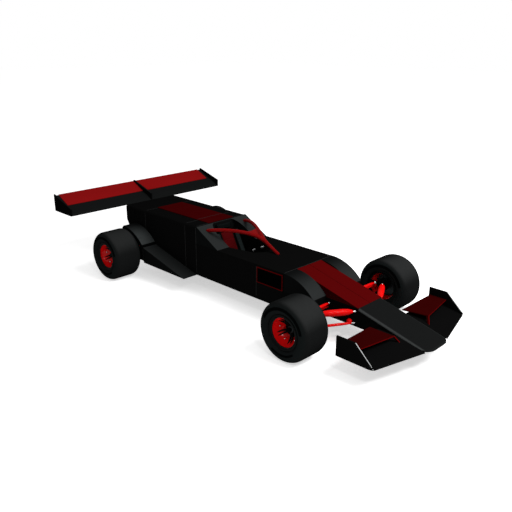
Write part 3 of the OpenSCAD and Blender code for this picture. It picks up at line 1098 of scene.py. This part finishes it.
@dataclass
class Wishbones:
    """Wishbones of one corner: red legs with bright rod ends.

    Attributes:
        grid: The bodywork's grid.
        front: True for the front axle.
        side: 1 for the left, -1 for the right.
        kingpin: Distance of the outer joints from the car's centre line.
    """

    grid: Grid
    front: bool
    side: int
    kingpin: float = 728 * MM

    @property
    def node(self) -> str:
        """CAD node that the wishbones stand for."""
        end = "front" if self.front else "rear"
        return f"{end}_wishbones_{'left' if self.side > 0 else 'right'}"

    def legs(self) -> list[tuple[Vector, Vector, float, float]]:
        """Start, end, middle radius and section height over width of each leg."""
        g = self.grid
        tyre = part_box(f"tyre_{'front' if self.front else 'rear'}_left")
        y = (tyre[0].y + tyre[1].y) / 2
        top = Vector((self.kingpin, y, g.at(0, 0, 0.93).z))
        base = Vector((self.kingpin, y, g.at(0, 0, 0.24).z))
        if self.front:
            made = [
                (g.at(1, -7.86, 0.82), top, 37 * MM, 0.95),
                (g.at(1, -6.24, 0.77), top, 17 * MM, 1.0),
                (g.at(1, -7.84, 0.2), base, 15 * MM, 1.0),
                (g.at(1, -6.24, 0.2), base, 13 * MM, 1.0),
            ]
        else:
            made = [
                (g.at(2, 7.62, 0.8), top, 15 * MM, 1.0),
                (g.at(2, 9.2, 0.88), top, 15 * MM, 1.0),
                (g.at(2, 7.62, 0.2), base, 14 * MM, 1.0),
                (g.at(2, 8.75, 0.2), base, 14 * MM, 1.0),
            ]
        flip = Vector((self.side, 1, 1))
        return [(a * flip, b * flip, r, f) for a, b, r, f in made]

    def build(self) -> None:
        """Builds the red legs, their bright rod ends and the dark forks at the wheel."""
        tubes, ends, forks = bmesh.new(), bmesh.new(), bmesh.new()
        for start, end, radius, flat in self.legs():
            span = end - start
            along = span.normalized()
            shares = (0.06, 0.09, 0.15, 0.25, 0.4, 0.5, 0.58, 0.64, 0.67)
            sizes = (0.4, 0.62, 0.88, 1.0, 1.0, 1.0, 0.9, 0.68, 0.45)
            tube_along(
                tubes, [start + span * t for t in shares], [radius * k for k in sizes], 24, flat
            )
            shank = 7 * MM
            tube_along(ends, [start, start + span * 0.08], [shank, shank], 12)
            tube_along(ends, [start + span * 0.65, start + span * 0.72], [shank, shank], 12)
            ball(ends, start + along * 10 * MM, 11 * MM)
            ball(ends, start + span * 0.71, 11 * MM)
            tube_along(
                forks, [start + span * 0.72, start + span * 0.9, end], [10 * MM, 14 * MM, 12 * MM]
            )
            ball(forks, end, 17 * MM)
        if self.front:
            dome = self.grid.at(self.side * 1.13, -7.6, 0.25)
            ball(tubes, dome, 29 * MM)
        attach(new_piece(self.node + "_legs", tubes), "chassis", Paint.ARM, [self.node])
        attach(new_piece(self.node + "_rod_ends", ends), "chassis", Paint.ALLOY)
        attach(new_piece(self.node + "_forks", forks), "chassis", Paint.TRIM)
        if self.front:
            self.brake_bar()

    def brake_bar(self) -> None:
        """Dark bar behind the joints that carries the brake line, turning with the knuckle."""
        mesh = bmesh.new()
        a, b = self.grid.at(2.98, -6.45, 0.68), self.grid.at(3.1, -5.75, 0.82)
        xs = sorted((self.side * a.x, self.side * b.x))
        block(mesh, Vector((xs[0], a.y, a.z)), Vector((xs[1], b.y, b.z)))
        end = "left" if self.side > 0 else "right"
        piece = attach(
            new_piece(f"brake_bar_{end}", mesh), f"knuckle_{end}", Paint.TRIM
        )
        soften(piece, 5)


# ---------------------------------------------------------------- cockpit


@dataclass
class Halo:
    """Driver's head guard: three tubes blended into one smooth ring.

    Attributes:
        grid: The bodywork's grid.
        radius: Radius of the tubes.
    """

    grid: Grid
    radius: float = 24 * MM

    def build(self) -> None:
        """Builds the guard as one remeshed skin."""
        g = self.grid
        mesh = bmesh.new()
        for s in SIDES:
            arm = [g.at(s * x, y, z) for x, y, z in
                   ((1.5, 2.55, 2.76), (1.55, 1.86, 2.98), (0.22, 0.11, 3.13), (0, -0.71, 2.51))]
            path = bezier(arm, 28)
            tube_along(mesh, path, [self.radius] * len(path), 20)
        stem = bezier([g.at(*p) for p in
                       ((0, -0.55, 2.62), (0, -0.9, 2.45), (0, -1.3, 2.2), (0, -1.8, 1.98))], 28)
        tube_along(mesh, stem, [self.radius * (1 - 0.15 * i / 28) for i in range(29)], 20)
        web = [g.at(*p) for p in
               ((0.62, 0.56, 2.95), (0, 0.4, 2.93), (-0.62, 0.56, 2.95), (0, -0.5, 2.67))]
        extrude_outline(mesh, web, Vector((0, 0, -24 * MM)))
        piece = new_piece("halo_guard", mesh)
        remesh = piece.modifiers.new("blend", "REMESH")
        remesh.mode = "VOXEL"
        remesh.voxel_size = 7 * MM
        remesh.use_smooth_shade = True
        smooth = piece.modifiers.new("smooth", "SMOOTH")
        smooth.iterations = 12
        smooth.factor = 0.6
        attach(piece, "chassis", Paint.HALO, ["halo"])


@dataclass
class Cushion:
    """One padded piece: a stitched cover over foam, swollen between its seams.

    Attributes:
        name: Name of the piece.
        outline: Side outline (length, height) in grid steps.
        sides: Distances from the centre line where it starts and ends, in grid steps.
        swell: How far the foam may push the cover out.
        paint: Its cover.
        slot: Material slot of the record; not used.
        nodes: CAD nodes that it stands for.
        channels: Points (length, height) of the sewn lines that run across it.
        voxel: Size of a cell of the remesh.
    """

    name: str
    outline: Sequence[tuple[float, float]]
    sides: tuple[float, float]
    swell: float
    paint: Paint
    slot: str
    nodes: Sequence[str]
    channels: Sequence[tuple[float, float]] = ()
    voxel: float = 6 * MM

    def shape(self, grid: Grid) -> bpy.types.Object:
        """Remeshed block that the foam starts from."""
        mesh = bmesh.new()
        first, last = self.sides
        near = [grid.at(first, y, z) for y, z in self.outline]
        extrude_outline(mesh, near, Vector(((last - first) * grid.step, 0, 0)))
        piece = new_piece(self.name, mesh)
        remesh = piece.modifiers.new("cells", "REMESH")
        remesh.mode = "VOXEL"
        remesh.voxel_size = self.voxel
        freeze(piece)
        return piece

    def inflate(self, piece: bpy.types.Object) -> None:
        """Lets the foam swell as cloth under pressure, within the cap.

        Args:
            piece: The remeshed block, changed in place.
        """
        rest = [v.co.copy() for v in piece.data.vertices]
        cloth = piece.modifiers.new("foam", "CLOTH")
        cloth.settings.use_pressure = True
        cloth.settings.uniform_pressure_force = 4.0
        cloth.settings.effector_weights.gravity = 0.0
        cloth.settings.quality = 5
        scene = bpy.context.scene
        for frame in range(1, 21):
            scene.frame_set(frame)
        freeze(piece)
        scene.frame_set(1)
        for vertex, start in zip(piece.data.vertices, rest):
            moved = vertex.co - start
            if moved.length > self.swell:
                vertex.co = start + moved * (self.swell / moved.length)

    def sew(self, piece: bpy.types.Object, grid: Grid) -> None:
        """Presses the sewn channels into the swollen cover.

        Args:
            piece: The swollen cover, changed in place.
            grid: The bodywork's grid.
        """
        lines = [grid.at(0, y, z) for y, z in self.channels]
        normals = [v.normal.copy() for v in piece.data.vertices]
        for vertex, normal in zip(piece.data.vertices, normals):
            if normal.z < 0.15 or abs(normal.x) > 0.7:
                continue
            for line in lines:
                gap = math.hypot(vertex.co.y - line.y, vertex.co.z - line.z)
                vertex.co -= normal * (5 * MM) * math.exp(-((gap / (9 * MM)) ** 2))

    def piping(self, grid: Grid) -> None:
        """Cord sewn round both side seams of the cover."""
        mesh = bmesh.new()
        points = [grid.at(0, y, z) for y, z in self.outline]
        rounded = []
        count = len(points)
        for i, point in enumerate(points):
            before, after = points[i - 1], points[(i + 1) % count]
            cut = 12 * MM
            start = point + (before - point).normalized() * cut
            end = point + (after - point).normalized() * cut
            rounded += bezier([start, point, point, end], 5)
        rounded.append(rounded[0])
        for x in self.sides:
            inset = 5 * MM * (1 if x == min(self.sides) else -1)
            path = [p + Vector((x * grid.step + inset, 0, 0)) for p in rounded]
            tube_along(mesh, path, [4 * MM] * len(path), 8)
        attach(new_piece(self.name + "_piping", mesh), "chassis", Paint.PIPING)

    def build(self, grid: Grid) -> None:
        """Builds the padded piece and its piping."""
        piece = self.shape(grid)
        self.inflate(piece)
        self.sew(piece, grid)
        piece.data.shade_smooth()
        piece.modifiers.new("finer", "SUBSURF").levels = 1
        piece.modifiers["finer"].render_levels = 1
        attach(piece, "chassis", self.paint, self.nodes)
        self.piping(grid)


@dataclass
class Cockpit:
    """Seat, headrest and steering wheel.

    Attributes:
        grid: The bodywork's grid.
        nodes: CAD nodes by name.
        paddle: Size of a shift paddle.
    """

    grid: Grid
    nodes: dict[str, bpy.types.Object]
    paddle: tuple[float, float, float] = (52 * MM, 8 * MM, 24 * MM)

    def cushions(self) -> list[Cushion]:
        """The seat's two bolsters, its red centre pad and the headrest."""
        bolster = [(0.5, 0.61), (0.5, 0.71), (1.6, 0.71), (2.46, 2.36), (2.58, 2.4), (1.74, 0.61)]
        pad = [(0.52, 0.62), (0.52, 0.67), (1.65, 0.67), (2.54, 2.42), (2.59, 2.42), (1.7, 0.62)]
        rows = [(0.9, 0.67), (1.3, 0.67), (1.8, 0.96), (1.97, 1.3), (2.14, 1.63), (2.31, 1.97)]
        head = [(2.74, 2.5), (2.74, 2.85), (2.85, 2.85), (2.85, 2.5)]
        return [
            Cushion("seat_bolster_left", bolster, (0.55, 0.94), 7 * MM, Paint.SEAT_GREY,
                    "seat_grey", ["seat_shell"]),
            Cushion("seat_bolster_right", bolster, (-0.94, -0.55), 7 * MM, Paint.SEAT_GREY,
                    "seat_grey", ["seat_shell"]),
            Cushion("seat_centre_pad", pad, (-0.48, 0.48), 8 * MM, Paint.SEAT_RED,
                    "seat_red", ["seat_pad"], rows, 5 * MM),
            Cushion("head_pad", head, (-0.56, 0.56), 6 * MM, Paint.SEAT_BLACK,
                    "trim_black", ["headrest"]),
        ]

    def seat_shell(self) -> None:
        """Moulded shell behind and below the cushions."""
        g = self.grid
        mesh = bmesh.new()
        floor = (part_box("seat_shell")[0].z - g.floor) / g.step
        outline = [g.at(-0.97, y, z) for y, z in
                   ((0.47, floor + 0.01), (0.47, 0.6), (1.73, 0.6), (2.62, 2.44), (2.73, 2.44),
                    (2.73, 1.9), (1.97, floor + 0.01))]
        extrude_outline(mesh, outline, Vector((1.94 * g.step, 0, 0)))
        piece = attach(
            new_piece("seat_back_shell", mesh), "chassis", Paint.TRIM, ["seat_shell"]
        )
        soften(piece, 6)

    def hand_wheel(self) -> None:
        """Dresses the steering wheel and gives it two bright shift paddles."""
        soften(dress(self.nodes["steering_wheel"], Paint.TRIM), 2, weld=True)
        mesh = bmesh.new()
        half = Vector(self.paddle) / 2
        for s in SIDES:
            centre = self.grid.at(s * 0.345, -0.17, 1.95)
            block(mesh, centre - half, centre + half)
        piece = attach(new_piece("shift_paddles", mesh), "hand_wheel", Paint.ALLOY)
        soften(piece, 3)

    def build(self) -> None:
        """Builds the cockpit."""
        self.seat_shell()
        for cushion in self.cushions():
            cushion.build(self.grid)
        self.hand_wheel()


# ---------------------------------------------------------------- the whole car


def main() -> None:
    """Loads the frame and builds every sub-assembly in order."""
    logging.basicConfig(level=logging.INFO, format="%(name)s: %(message)s")
    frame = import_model()
    grid = Grid.from_frame()
    Studio().build()
    Bodywork(grid, frame["nodes"]).build()
    for name in WHEELS:
        Wheel(name).build()
    for front in (True, False):
        for side in SIDES:
            Wishbones(grid, front, side).build()
    Halo(grid).build()
    Cockpit(grid, frame["nodes"]).build()


if __name__ == "__main__":
    main()
